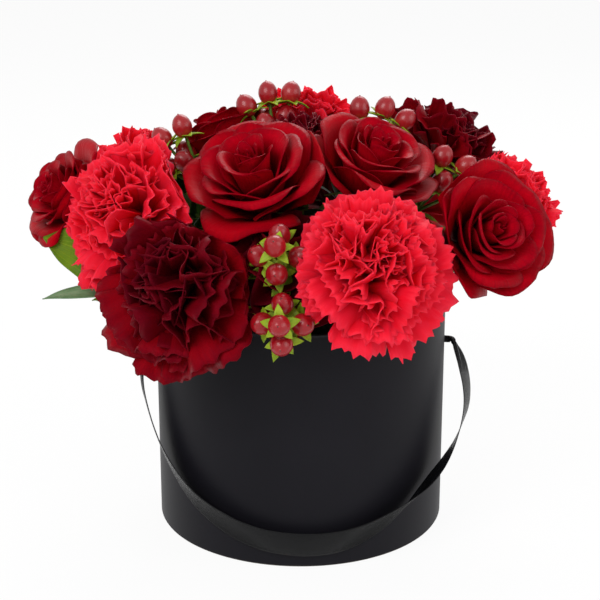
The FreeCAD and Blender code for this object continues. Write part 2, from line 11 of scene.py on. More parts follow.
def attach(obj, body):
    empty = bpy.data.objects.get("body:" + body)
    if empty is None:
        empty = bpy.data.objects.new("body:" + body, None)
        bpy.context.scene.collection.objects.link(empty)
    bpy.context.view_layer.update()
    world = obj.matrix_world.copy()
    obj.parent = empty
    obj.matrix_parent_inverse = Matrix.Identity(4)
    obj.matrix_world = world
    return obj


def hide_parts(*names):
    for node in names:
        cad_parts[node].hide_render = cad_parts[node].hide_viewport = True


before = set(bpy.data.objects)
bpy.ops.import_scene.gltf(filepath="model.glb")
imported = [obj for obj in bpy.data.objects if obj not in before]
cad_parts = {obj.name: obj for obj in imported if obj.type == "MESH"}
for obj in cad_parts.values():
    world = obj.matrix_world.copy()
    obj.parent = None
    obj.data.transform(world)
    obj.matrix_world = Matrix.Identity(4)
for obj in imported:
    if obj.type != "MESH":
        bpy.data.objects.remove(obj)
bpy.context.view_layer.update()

scene = bpy.context.scene
golden = math.pi * (3 - math.sqrt(5))
fullTurn = 6.28  # radians, for waves
upward = (0, 0, 1.0)
sightLine = (0, -0.95, 0.31)  # from the flowers to the front, and a little up

# what the pieces share with the box, in metres
focus = np.array([0.0, 0.0, 0.115])  # every stem points away from here, inside the foam
stemStart = 0.026  # the lower end of a stem, from the focus
wallRadius = 0.0803  # the outside of the box's paper
holeHeight = 0.100  # the ribbon's two holes


# sums on sockets
class Wire:
    def __init__(self, finish, socket):
        self.finish = finish
        self.socket = socket

    def work(self, operation, first, second=0.0):
        return self.finish.node("ShaderNodeMath", {"operation": operation}, {0: first, 1: second})

    def __add__(self, other):
        return self.work("ADD", self, other)

    def __sub__(self, other):
        return self.work("SUBTRACT", self, other)

    def __rsub__(self, other):
        return self.work("SUBTRACT", other, self)

    def __mul__(self, other):
        return self.work("MULTIPLY", self, other)

    def __abs__(self):
        return self.work("ABSOLUTE", self)

    __radd__ = __add__
    __rmul__ = __mul__


# one material: a Principled shader, and a way to add any node before it
class Finish:
    def __init__(self, name, **plain):
        self.material = bpy.data.materials.new(name)
        self.material.use_nodes = True
        self.tree = self.material.node_tree
        self.shader = self.tree.nodes["Principled BSDF"]
        for socket, value in plain.items():
            self.shader.inputs[socket.replace("_", " ")].default_value = value

    def node(self, kind, settings=None, sockets=None, out=0):
        made = self.tree.nodes.new(kind)
        for key, value in (settings or {}).items():
            setattr(made, key, value)
        for key, value in (sockets or {}).items():
            if isinstance(value, Wire):
                self.tree.links.new(value.socket, made.inputs[key])
            else:
                made.inputs[key].default_value = value
        return Wire(self, made.outputs[out])

    def feed(self, socket, wire):
        self.tree.links.new(wire.socket, self.shader.inputs[socket])

    def given(self, name):  # a number kept on the mesh's points
        return self.node("ShaderNodeAttribute", {"attribute_name": name}, out="Fac")

    def place(self):
        return self.node("ShaderNodeNewGeometry", out="Position")

    def stretch(self, vector, scale):
        return self.node("ShaderNodeVectorMath", {"operation": "MULTIPLY"}, {0: vector, 1: scale})

    def spot(self, x, y, z):
        return self.node("ShaderNodeCombineXYZ", {}, {0: x, 1: y, 2: z})

    def noise(self, scale, vector=None, detail=3.0):
        sockets = {"Vector": vector or self.place(), "Scale": scale, "Detail": detail}
        return self.node("ShaderNodeTexNoise", {}, sockets)

    def sine(self, value):
        return self.node("ShaderNodeMath", {"operation": "SINE"}, {0: value})

    def blend(self, share, first, second):  # of two colours, each a wire or screen values
        first, second = (side if isinstance(side, Wire) else colour(*side) for side in (first, second))
        return self.node("ShaderNodeMix", {"data_type": "RGBA"}, {0: share, 6: first, 7: second}, out=2)

    def between(self, value, low, high, to=(0.0, 1.0)):
        return self.node("ShaderNodeMapRange", {}, {0: value, 1: low, 2: high, 3: to[0], 4: to[1]})

    def bump(self, height, depth, strength):
        sockets = {"Height": height, "Distance": depth, "Strength": strength}
        self.feed("Normal", self.node("ShaderNodeBump", {}, sockets))


def colour(red, green, blue):  # screen values 0 to 255, to the linear ones that sockets take
    def linear(value):
        value = value / 255
        return value / 12.92 if value <= 0.04045 else ((value + 0.055) / 1.055) ** 2.4
    return (linear(red), linear(green), linear(blue), 1.0)


# finishes: each petal runs from its deep foot, darkened there as painted shade, over its body to its edge, and
# from inner to outer petals
petalLook = {
    "rose": {
        "deep": (58, 0, 5), "inner": (178, 3, 28), "outer": (166, 2, 18), "edge": (84, 2, 14),
        "tint": (210, 40, 50), "rough": 0.42, "sheen": 0.08, "veins": 22.0, "glow": 0.15,
    },
    "carnation": {
        "deep": (162, 2, 18), "inner": (212, 10, 34), "outer": (230, 30, 54), "edge": (240, 52, 74),
        "tint": (240, 90, 105), "rough": 0.6, "sheen": 0.06, "veins": 34.0, "glow": 0.7,
    },
    "burgundy": {
        "deep": (30, 0, 4), "inner": (70, 1, 12), "outer": (150, 5, 18), "edge": (92, 10, 24),
        "tint": (190, 50, 64), "rough": 0.46, "sheen": 0.08, "veins": 26.0, "glow": 0.15,
    },
}
edgeShare = 0.6  # how strongly a petal's edge takes the edge colour


def petalFinish(kind):
    look = petalLook[kind]
    tint = colour(*look["tint"])
    made = Finish(
        kind + "Petal", Sheen_Weight=look["sheen"], Sheen_Roughness=0.45, Sheen_Tint=tint,
        Specular_IOR_Level=0.12, Specular_Tint=tint,
        Subsurface_Weight=look["glow"], Subsurface_Radius=(1.0, 0.25, 0.25), Subsurface_Scale=0.0012,
    )
    along, across, tone = made.given("along"), made.given("across"), made.given("tone")
    veins = made.noise(1.0, made.spot(across * look["veins"], along * 2.2, tone * 60.0), 4.0)
    cloud = made.noise(110.0)
    outward = made.between(tone + (cloud - 0.5) * 0.3, 0.1, 0.95)
    # painted shade: the lift mask darkens each petal to its deep colour towards its foot, deep in the bloom
    lift = made.between(along + (cloud - 0.5) * 0.3 + (veins - 0.5) * 0.2, 0.12, 0.72)
    rim = made.between(along + (veins - 0.5) * 0.16, 0.86, 1.0)
    body = made.blend(lift, look["deep"], made.blend(outward, look["inner"], look["outer"]))
    made.feed("Base Color", made.blend(rim * edgeShare, body, look["edge"]))
    made.feed("Roughness", look["rough"] + (veins - 0.5) * 0.3)
    made.bump(veins + made.noise(1100.0) * 0.3, 0.0005, 0.55)
    return made.material


berryLook = {"pale": (172, 34, 36), "ripe": (146, 6, 20), "speck": (204, 74, 72), "tip": (58, 24, 16)}


def berryFinish():
    made = Finish("berrySkin", Coat_Weight=0.25, Coat_Roughness=0.14, Specular_IOR_Level=0.3)
    along, tone = made.given("along"), made.given("tone")
    speck = made.noise(520.0)
    cloud = made.noise(130.0)
    ripe = made.between(along + (tone - 0.5) * 0.3 + (cloud - 0.5) * 0.6, 0.0, 0.6)
    rind = made.blend(ripe, berryLook["pale"], berryLook["ripe"])
    rind = made.blend(made.between(speck, 0.58, 0.8, (0.0, 0.25)), rind, berryLook["speck"])
    made.feed("Base Color", made.blend(made.between(along, 0.955, 0.985), rind, berryLook["tip"]))
    made.feed("Roughness", 0.26 + speck * 0.16)
    made.bump(cloud + speck * 0.3, 0.0004, 0.3)
    return made.material


greenLook = {
    "stem": {"dark": (46, 72, 20), "light": (98, 128, 42), "rough": 0.5},
    "calyx": {"dark": (58, 88, 34), "light": (116, 146, 66), "rough": 0.5},
    "sepal": {"dark": (82, 118, 14), "light": (158, 178, 40), "rough": 0.45},
}


def greenFinish(kind):
    look = greenLook[kind]
    made = Finish(kind + "Green", Specular_IOR_Level=0.18)
    fibre = made.noise(1.0, made.stretch(made.place(), (800.0, 800.0, 120.0)))
    mottle = made.noise(170.0)
    pale = made.between(mottle + made.given("along") * 0.3, 0.35, 0.95)
    made.feed("Base Color", made.blend(pale, look["dark"], look["light"]))
    made.feed("Roughness", look["rough"] + (mottle - 0.5) * 0.2)
    made.bump(fibre + mottle * 0.5, 0.0003, 0.4)
    return made.material


leafLook = {
    "broadLeaf": {"dark": (68, 100, 2), "light": (110, 138, 4), "vein": (134, 158, 30), "ribs": 4.0},
    "foliage": {"dark": (28, 58, 14), "light": (58, 96, 22), "vein": (90, 124, 48), "ribs": 3.0},
    "bladeLeaf": {"dark": (84, 118, 76), "light": (132, 156, 118), "vein": (160, 180, 146), "ribs": 3.0},
}


def leafFinish(kind):
    look = leafLook[kind]
    made = Finish(kind + "Green", Specular_IOR_Level=0.14, Coat_Weight=0.04, Coat_Roughness=0.3)
    along, side = made.given("along"), abs(made.given("across"))
    lines = made.between(made.sine((side * look["ribs"] + along * 0.6) * fullTurn), 0.75, 1.0)
    lines = lines * made.between(side, 0.04, 0.2)
    midrib = made.between(side, 0.0, 0.06, (1.0, 0.0))
    mottle = made.noise(120.0)
    pale = made.between(mottle + (0.5 - side) * 0.3, 0.3, 0.8)
    green = made.blend(lines * 0.3, made.blend(pale, look["dark"], look["light"]), look["vein"])
    made.feed("Base Color", made.blend(midrib * 0.6, green, look["vein"]))
    made.feed("Roughness", 0.38 + mottle * 0.2)
    made.bump(lines * 0.5 - midrib + mottle * 0.3, 0.0006, 0.5)
    return made.material


paperLook = {
    "dark": (17, 16, 21), "light": (23, 22, 27), "worn": (66, 66, 68), "lap": (12, 12, 13),
    "lapAt": 0.006, "lapWidth": 0.0005, "wornFrom": 0.1288, "wornTo": 0.1302,
}


def paperFinish():
    look = paperLook
    made = Finish("blackBoxPaper", Specular_IOR_Level=0.11)
    fibre = made.noise(1400.0, detail=4.0)
    cloud = made.noise(12.0)
    x, y, z = (made.node("ShaderNodeSeparateXYZ", {}, {0: made.place()}, out=axis) for axis in range(3))
    lap = made.between(abs(x - look["lapAt"]), 0.0, look["lapWidth"], (1.0, 0.0))
    lap = lap * made.between(y, 0.0, 0.01)  # at the back only
    worn = made.between(z + (fibre - 0.5) * 0.002, look["wornFrom"], look["wornTo"])  # the rim is handled
    pale = made.between(cloud + (fibre - 0.5) * 0.4, 0.3, 0.7)
    paper = made.blend(worn * 0.35, made.blend(pale, look["dark"], look["light"]), look["worn"])
    made.feed("Base Color", made.blend(lap * 0.7, paper, look["lap"]))
    made.feed("Roughness", 0.47 + (cloud - 0.5) * 0.14 + (fibre - 0.5) * 0.1)
    made.bump(fibre * 0.4 + made.noise(60.0) * 0.6 - lap * 1.5, 0.0003, 0.25)
    return made.material


boardLook = {"dark": (88, 84, 78), "light": (124, 119, 110)}


def boardFinish():
    made = Finish("greyBoard", Specular_IOR_Level=0.2)
    fibre = made.noise(1.0, made.stretch(made.place(), (300.0, 300.0, 900.0)), 5.0)
    made.feed("Base Color", made.blend(made.between(fibre, 0.3, 0.7), boardLook["dark"], boardLook["light"]))
    made.feed("Roughness", 0.82 + fibre * 0.1)
    made.bump(fibre, 0.0004, 0.5)
    return made.material


satinLook = {"dark": (4, 4, 6), "light": (9, 10, 12), "selvedge": (24, 24, 25), "weft": 1500.0, "warp": 120.0}


def satinFinish():
    made = Finish("blackSatin", Anisotropic=0.4, Specular_IOR_Level=0.12)
    along, across = made.given("along"), made.given("across")
    weft = made.sine(along * satinLook["weft"])
    warp = made.sine(across * satinLook["warp"])
    edge = made.between(abs(across), 0.86, 0.95)
    thread = made.noise(1.0, made.spot(across * 60.0, along * 30.0, 0.0))
    satin = made.blend(made.between(thread, 0.3, 0.7), satinLook["dark"], satinLook["light"])
    made.feed("Base Color", made.blend(edge * 0.5, satin, satinLook["selvedge"]))
    made.feed("Roughness", 0.18 + thread * 0.1 + edge * 0.15)
    made.bump(weft * 0.4 + warp * 0.6 + edge * 2.0, 0.00012, 0.5)
    return made.material


linerLook = {"dark": (24, 36, 26), "light": (32, 46, 34)}


def linerFinish():
    made = Finish("linerPlastic", Specular_IOR_Level=0.45)
    grain = made.noise(300.0)
    made.feed("Base Color", made.blend(made.between(grain, 0.3, 0.7), linerLook["dark"], linerLook["light"]))
    made.feed("Roughness", 0.42 + grain * 0.16)
    made.bump(grain, 0.0002, 0.3)
    return made.material


# wet foam, its greens darkened further as painted shade for the shade under the blooms
foamLook = {"dark": (12, 24, 12), "light": (30, 50, 27), "cells": 620.0}


def foamFinish():
    made = Finish("wetFoamPaintedShade", Specular_IOR_Level=0.15)
    cells = made.node("ShaderNodeTexVoronoi", {}, {"Vector": made.place(), "Scale": foamLook["cells"]})
    cloud = made.noise(45.0)
    # painted shade: each cell's pit is darker than its rim
    pale = made.between(cells + (cloud - 0.5) * 0.8, 0.1, 0.8)
    made.feed("Base Color", made.blend(pale, foamLook["dark"], foamLook["light"]))
    made.feed("Roughness", 0.85 + cloud * 0.1)
    made.bump(cells, 0.0008, 0.8)
    return made.material


looks = {kind: petalFinish(kind) for kind in petalLook}
looks.update({kind: greenFinish(kind) for kind in greenLook})
looks.update({kind: leafFinish(kind) for kind in leafLook})
looks["berry"] = berryFinish()
looks["paper"] = paperFinish()
looks["board"] = boardFinish()
looks["satin"] = satinFinish()
looks["liner"] = linerFinish()
looks["foam"] = foamFinish()
print("finishes made:", len(looks))


# meshes: shells of a thickness, lathes and tubes, gathered into one piece with its numbers on the points
class Gather:
    def __init__(self):
        self.points, self.faces, self.looks = [], [], []
        self.given = {"along": [], "across": [], "tone": []}
        self.count = 0

    def add(self, points, faces, along, across, tone, look=0):
        total = len(points)
        self.points.append(points)
        self.faces += [tuple(i + self.count for i in face) for face in faces]
        self.looks += [look] * len(faces)
        for key, value in (("along", along), ("across", across), ("tone", tone)):
            self.given[key].append(np.broadcast_to(np.asarray(value, float), (total,)))
        self.count += total

    def make(self, name, materials, move=None):
        points = np.concatenate(self.points)
        if move is not None:
            points = move(points)
        mesh = bpy.data.meshes.new(name)
        mesh.from_pydata(points.tolist(), [], self.faces)
        for key, values in self.given.items():
            layer = mesh.attributes.new(key, "FLOAT", "POINT")
            layer.data.foreach_set("value", np.concatenate(values).astype(np.float32))
        for material in materials:
            mesh.materials.append(material)
        mesh.polygons.foreach_set("material_index", self.looks)
        mesh.polygons.foreach_set("use_smooth", [True] * len(mesh.polygons))
        tidy = bmesh.new()
        tidy.from_mesh(mesh)
        bmesh.ops.recalc_face_normals(tidy, faces=tidy.faces)
        tidy.to_mesh(mesh)
        tidy.free()
        piece = bpy.data.objects.new(name, mesh)
        scene.collection.objects.link(piece)
        return piece


def shell(gather, grid, thickness, along, across, tone, look=0):
    rows, columns, _ = grid.shape
    normal = np.cross(np.gradient(grid, axis=1), np.gradient(grid, axis=0))
    normal /= np.maximum(np.linalg.norm(normal, axis=2, keepdims=True), 1e-9)
    both = np.concatenate([grid.reshape(-1, 3), (grid - normal * thickness).reshape(-1, 3)])
    half = rows * columns
    faces = []
    for r in range(rows - 1):
        for c in range(columns - 1):
            a, b = r * columns + c, r * columns + c + 1
            d, e = a + columns, b + columns
            faces += [(a, b, e, d), (a + half, d + half, e + half, b + half)]
    rim = list(range(columns))
    rim += [r * columns + columns - 1 for r in range(1, rows)]
    rim += [(rows - 1) * columns + c for c in range(columns - 2, -1, -1)]
    rim += [r * columns for r in range(rows - 2, 0, -1)]
    for a, b in zip(rim, rim[1:] + rim[:1]):
        faces.append((b, a, a + half, b + half))
    spread = np.zeros((rows, columns))
    along, across = (np.tile((value + spread).ravel(), 2) for value in (along, across))
    gather.add(both, faces, along, across, tone, look)


# closed rings of points, one after another, capped at both ends
def skin(gather, rings, look=0, tone=0.5, place=None):
    count, turns, _ = rings.shape
    faces = []
    for i in range(count - 1):
        for k in range(turns):
            m = (k + 1) % turns
            faces.append((i * turns + k, i * turns + m, (i + 1) * turns + m, (i + 1) * turns + k))
    faces += [tuple(range(turns))[::-1], tuple((count - 1) * turns + k for k in range(turns))]
    points = rings.reshape(-1, 3)
    along = np.repeat(np.linspace(0, 1, count), turns)
    gather.add(place(points) if place else points, faces, along, 0.0, tone, look)


def lathe(gather, profile, turns, look=0, tone=0.5, place=None):
    angle = np.linspace(0, 2 * math.pi, turns, endpoint=False)
    radius, height = np.array(profile).T
    rings = np.stack([
        radius[:, None] * np.cos(angle), radius[:, None] * np.sin(angle), height[:, None] + 0 * angle,
    ], -1)
    skin(gather, rings, look, tone, place)


def tube(gather, path, radii, turns=8, look=0, tone=0.5, place=None):
    path = np.asarray(path, float)
    angle = np.linspace(0, 2 * math.pi, turns, endpoint=False)
    side = np.array([0.3, 0.5, 0.8])
    rings = []
    for spot, ahead, radius in zip(path, np.gradient(path, axis=0), radii):
        ahead = ahead / np.linalg.norm(ahead)
        side = side - ahead * side.dot(ahead)
        side /= np.linalg.norm(side)
        up = np.cross(ahead, side)
        rings.append(spot + radius * (np.outer(np.cos(angle), side) + np.outer(np.sin(angle), up)))
    skin(gather, np.array(rings), look, tone, place)


def upright(gather, low, high, radii, turns=12, look=0, place=None):  # a stem along its own line
    heights = np.linspace(low, high, len(radii))
    tube(gather, [(0, 0, h) for h in heights], radii, turns, look, place=place)


def smooth(value, low, high):
    share = np.clip((value - low) / (high - low), 0, 1)
    return share * share * (3 - 2 * share)


def grow(rule, share):  # a first value, what it gains from heart to outside, and the power of that
    first, gain, power = rule
    return first + gain * share ** power


def onRing(radius, spin, height):
    return (radius * math.cos(spin), radius * math.sin(spin), height)


def turnFlat(x, y, angle):
    return x * math.cos(angle) - y * math.sin(angle), x * math.sin(angle) + y * math.cos(angle)


def unit(rows):
    return rows / np.linalg.norm(rows, axis=1, keepdims=True)


def squareTo(rows, lines):  # each row turned square to its line
    return unit(rows - lines * np.sum(rows * lines, axis=1, keepdims=True))


def heading(azimuth, lean, spin=0.0):
    turn = Matrix.Rotation(math.radians(azimuth), 3, "Z") @ Matrix.Rotation(math.radians(lean), 3, "Y")
    return np.array(turn @ Matrix.Rotation(math.radians(spin), 3, "Z"))


def pointing(way):  # a turn that takes +Z to this way
    return np.array(Vector(way).to_track_quat("Z", "Y").to_matrix())


def curve(stops, steps):  # a smooth run through the stops
    stops = np.asarray(stops, float)
    ends = np.vstack([2 * stops[0] - stops[1], stops, 2 * stops[-1] - stops[-2]])
    run = np.linspace(0, len(stops) - 1, steps)
    i = np.minimum(run.astype(int), len(stops) - 2)
    t = (run - i)[:, None]
    a, b, c, d = ends[i], ends[i + 1], ends[i + 2], ends[i + 3]
    square = a - 2.5 * b + 2 * c - d / 2
    cube = 1.5 * (b - c) + (d - a) / 2
    return b + t * (c - a) / 2 + t ** 2 * square + t ** 3 * cube


def pieceName(node):
    first, *rest = node.split("_")
    return first + "".join(word.title() for word in rest)


def fit(piece, node, body, slot):
    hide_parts(node)
    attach(piece, body)


# where each flower stands, from the focus: face is its turn to the front, and full how far it opens
Bloom = namedtuple("Bloom", "radius reach azimuth lean face full")
roses = {
    "rose_front_left": Bloom(0.040, 0.100, -120, 28, 4, 1.02),
    "rose_front_right": Bloom(0.034, 0.100, -33, 26, 6, 1.11),
    "rose_right": Bloom(0.034, 0.124, -21, 61, 36, 1.16),
    "rose_back_left": Bloom(0.028, 0.104, 141, 32, 0, 1.14),
    "rose_left": Bloom(0.028, 0.145, 180, 62, 24, 1.08),
    "rose_back": Bloom(0.034, 0.104, 112, 64, 0, 1.14),
}
carnations = {
    "carnation_front": Bloom(0.042, 0.104, -67, 61, 4, 0.97),
    "carnation_left": Bloom(0.035, 0.116, -154, 55, 14, 1.2),
    "carnation_right": Bloom(0.035, 0.124, 9, 63, 6, 1.08),
    "carnation_top": Bloom(0.035, 0.104, 86, 34, 0, 1.08),
    "carnation_back_left": Bloom(0.028, 0.124, 156, 57, 0, 1.08),
    "carnation_back_right": Bloom(0.035, 0.104, 46, 66, 0, 1.08),
    "burgundy_front": Bloom(0.046, 0.104, -129, 68, 12, 1.03),
    "burgundy_right": Bloom(0.035, 0.116, 23, 46, 0, 1.08),
    "burgundy_top": Bloom(0.024, 0.092, 90, 4, 0, 1.08),
    "burgundy_back": Bloom(0.035, 0.104, 79, 67, 0, 1.08),
}

# raised is how many berries stand up beside the top one
Sprig = namedtuple("Sprig", "radius reach azimuth lean raised")
sprigs = {
    "sprig_left": Sprig(0.0134, 0.110, 172, 38, 2),
    "sprig_top_left": Sprig(0.0134, 0.110, 122, 16, 2),
    "sprig_top_right": Sprig(0.0134, 0.110, 10, 22, 2),
    "sprig_right": Sprig(0.0134, 0.110, -4, 46, 2),
    "sprig_front_low": Sprig(0.016, 0.110, -95, 74, 0),
    "sprig_front_high": Sprig(0.016, 0.110, -97, 56, 0),
}

# how the heads press each other
pressing = {
    "keeps": {"burgundy_front": 0.55},  # the share of its pressing that a soft bloom keeps
    "sprig": 0.55,  # the share of its width that a sprig holds free
    "near": 1.5,  # half widths within which a neighbour presses
    "give": 0.003,  # how far before the plane petals start to give, in metres
}


def halfAngle(name, entry):  # how wide a head looks from the focus, where fuller blooms press harder
    full = 1 if name in sprigs else entry.full
    return math.atan(entry.radius * full / entry.reach) * pressing["keeps"].get(name, 1)


# the planes a bloom is pressed against by its neighbours, seen from its own line
def pressedBy(name):
    sides = []
    table = {**roses, **carnations, **sprigs}
    own = heading(table[name].azimuth, table[name].lean)
    half = halfAngle(name, table[name])
    for other, entry in table.items():
        if other == name:
            continue
        line = own.T @ heading(entry.azimuth, entry.lean) @ np.array(upward)
        apart = math.acos(min(1, line[2]))
        otherHalf = halfAngle(other, entry)
        share = apart * half / (half + otherHalf)
        if other in sprigs:
            share = apart - pressing["sprig"] * otherHalf
        if share < pressing["near"] * max(half, otherHalf):
            flat = np.array([line[0], line[1], 0]) / math.hypot(line[0], line[1])
            sides.append(flat * math.cos(share) - np.array([0, 0, math.sin(share)]))
    return sides


def settle(name, entry, base):  # from a bloom's own points to the place where it stands
    turn = heading(entry.azimuth, entry.lean)
    toFront = turn.T @ np.array(sightLine)
    face = np.array(Matrix.Rotation(math.radians(entry.face), 3, Vector(np.cross(upward, toFront))))
    sides = pressedBy(name)
    give = pressing["give"]

    def move(points):
        points = points @ face.T + np.array([0, 0, base])
        for normal in sides:
            out = points @ normal
            near = out > -give
            held = -give * np.exp(-(out[near] + give) / give)
            points[near] += np.outer(held - out[near], normal)
        return points @ turn.T + focus
    return move


def stand(azimuth, lean, spin=0.0):  # from a flower's own line to the place where it stands
    turn = heading(azimuth, lean, spin)
    return lambda points: points @ turn.T + focus


# a petal's middle line, from the way it points at its foot, belly and lip, and the roll of its edge
bendSpans = {"belly": (0, 0.45), "lip": (0.4, 0.86), "roll": (0.8, 1.0)}


def bend(angles, length, steps=60):
    share = np.linspace(0, 1, steps)
    foot, belly, lip, roll = np.radians(angles)
    toBelly, toLip, toRoll = (smooth(share, *bendSpans[part]) for part in ("belly", "lip", "roll"))
    way = foot + (belly - foot) * toBelly + (lip - belly) * toLip
    way = way + roll * toRoll
    step = length / (steps - 1)
    across = np.concatenate([[0], np.cumsum(np.sin((way[1:] + way[:-1]) / 2))]) * step
    up = np.concatenate([[0], np.cumsum(np.cos((way[1:] + way[:-1]) / 2))]) * step
    return share, across, up, way


# a green blade that bends down along its length, folded a little at its midrib
Cut = namedtuple("Cut", "length width fold thickness blunt rows columns")


def blade(gather, place, cut, droop, size=1.0, look=1, tone=0.5):
    along = np.linspace(0, 1, cut.rows)[:, None]
    across = np.linspace(-1, 1, cut.columns)[None, :]
    length, width = cut.length * size, cut.width * size
    half = width / 2 * np.sin(math.pi * np.clip(along, 0.02, 0.995) ** (0.75 * cut.blunt)) ** 0.8
    turn = along * droop
    out = length * np.sin(turn) / droop
    down = length * (1 - np.cos(turn)) / droop
    rise = half * (np.abs(across) * cut.fold)
    grid = np.stack([out + 0 * across, half * across, rise - down + 0 * across], -1)
    grid = place(grid.reshape(-1, 3)).reshape(grid.shape)
    shell(gather, grid, cut.thickness, along, across, tone, look)


# places a blade at this spot, round this way, raised from flat by the tilt
def setting(spot, way, spin, tilt):
    turn = pointing(way) @ np.array(Matrix.Rotation(spin, 3, "Z") @ Matrix.Rotation(-tilt, 3, "Y"))
    return lambda points: points @ turn.T + np.asarray(spot)


# roses: rules in degrees or in shares of the radius, and how far chance moves them
rosePiece = {
    "petals": 27, "thickness": 0.0004, "rows": 16, "columns": 21, "backShare": 0.58,
    "foot": (12, 60, 0.8), "belly": (-10, 50, 1.1), "lip": (-8, 72, 1.15), "roll": (6, 54, 0.6),
    "halfTurn": (150, -92, 0.45), "length": (0.56, 0.60, 0.8),
    "hub": (0.03, 0.10, 1), "rise": (0.05, 0.44, 1.2),
    "chance": {"belly": 4, "lip": 8, "roll": 22, "length": 0.05, "turn": 0.16},
    "corner": 0.28, "tip": 0.09, "tipWidth": 0.14, "edgeWave": 0.022,
    "tuck": 0.11, "flare": 0.10, "ripple": 0.035, "sag": 0.13, "lipWave": 0.03,
    "stem": 0.0025, "stemRings": 14, "knobs": 0.06, "intoHip": 0.002, "hip": 0.006, "hipLength": 0.011,
    "hipSides": [(0.42, 0.0), (0.62, 0.12), (0.9, 0.35), (1.0, 0.6), (0.88, 0.82), (0.62, 1.0)],
    "sepals": 5, "sepalSeat": 0.0012, "sepalTilt": -0.1, "sepalDroop": (0.5, 1.1),
    "sepal": Cut(0.022, 0.007, 0.3, 0.0006, 0.7, 9, 7),
}


def rosePetal(k, radius, spin, rows, columns, chance):
    make, moves = rosePiece, rosePiece["chance"]
    share = k / (make["petals"] - 1)
    side = np.abs(columns)
    wobble, sway, wave = chance.uniform(-1, 1), chance.uniform(-1, 1), chance.uniform(0, fullTurn)
    length = radius * grow(make["length"], share) * (1 + moves["length"] * wobble)
    angles = (
        grow(make["foot"], share),
        grow(make["belly"], share) + moves["belly"] * sway,
        grow(make["lip"], share) + moves["lip"] * sway,
        grow(make["roll"], share) + moves["roll"] * wobble,
    )
    steps, across, up, _ = bend(angles, length)
    edge = 1 - make["corner"] * side ** 2.2
    edge = edge + make["tip"] * share * np.exp(-(columns / make["tipWidth"]) ** 2)
    edge = edge + make["edgeWave"] * np.sin(columns * 6 + wave) * (0.4 + share)
    reach = np.clip(rows * edge, 0, 1)
    out = np.interp(reach, steps, across) + radius * grow(make["hub"], share)
    high = np.interp(reach, steps, up) + radius * grow(make["rise"], 1 - share)  # the heart stands higher
    out = out * (1 + make["tuck"] * columns * (1 - 0.55 * share))  # one side tucks under the next petal
    flare = make["flare"] * side ** 3 * rows ** 2 + make["ripple"] * np.sin(columns * 4 + wave) * rows ** 3
    out = out + radius * share * flare
    high = high - radius * share * make["sag"] * side ** 3 * rows ** 2
    high = high + radius * make["lipWave"] * np.sin(columns * 5 + 2 * wave) * rows ** 4
    halfTurn = math.radians(grow(make["halfTurn"], share))
    angle = spin + k * golden + moves["turn"] * sway + columns * halfTurn * (1 - 0.12 * rows ** 4)
    grid = np.stack([out * np.cos(angle), out * np.sin(angle), high], -1)
    return grid, np.clip(0.75 * share + 0.25 * chance.random(), 0, 1)


def makeRose(name, entry, seed):
    chance = random.Random(seed)
    gather = Gather()
    spin = chance.uniform(0, fullTurn)
    rows = np.linspace(0, 1, rosePiece["rows"])[:, None] ** 0.85
    columns = np.linspace(-1, 1, rosePiece["columns"])[None, :]
    for k in range(rosePiece["petals"]):
        grid, tone = rosePetal(k, entry.radius * entry.full, spin, rows, columns, chance)
        shell(gather, grid, rosePiece["thickness"], rows, columns, tone)
    base = entry.reach - rosePiece["backShare"] * entry.radius
    piece = gather.make(pieceName(name) + "Petals", [looks["rose"]], settle(name, entry, base))
    fit(piece, name + "_bloom", "insert", "rose_petal")
    makeRoseStem(name, entry, base, chance)


def makeRoseStem(name, entry, base, chance):
    gather = Gather()
    long, hip, stem = rosePiece["hipLength"], rosePiece["hip"], rosePiece["stem"]
    low = base - long
    radii = [stem * (1 + rosePiece["knobs"] * math.sin(9 * i)) for i in range(rosePiece["stemRings"])]
    upright(gather, stemStart, low + rosePiece["intoHip"], radii)
    lathe(gather, [(hip * wide, low + long * up) for wide, up in rosePiece["hipSides"]], 20, 1)
    for i in range(rosePiece["sepals"]):
        spin = 2 * math.pi * i / rosePiece["sepals"] + chance.uniform(-0.2, 0.2)
        spot = onRing(0.5 * hip, spin, base - rosePiece["sepalSeat"])
        place = setting(spot, upward, spin, rosePiece["sepalTilt"])
        blade(gather, place, rosePiece["sepal"], chance.uniform(*rosePiece["sepalDroop"]))
    materials = [looks["stem"], looks["calyx"]]
    piece = gather.make(pieceName(name) + "Stem", materials, stand(entry.azimuth, entry.lean))
    fit(piece, name + "_stem", "insert", "green_stem")


for number, (name, entry) in enumerate(roses.items()):
    makeRose(name, entry, 11 + number)
print("roses made:", len(roses))

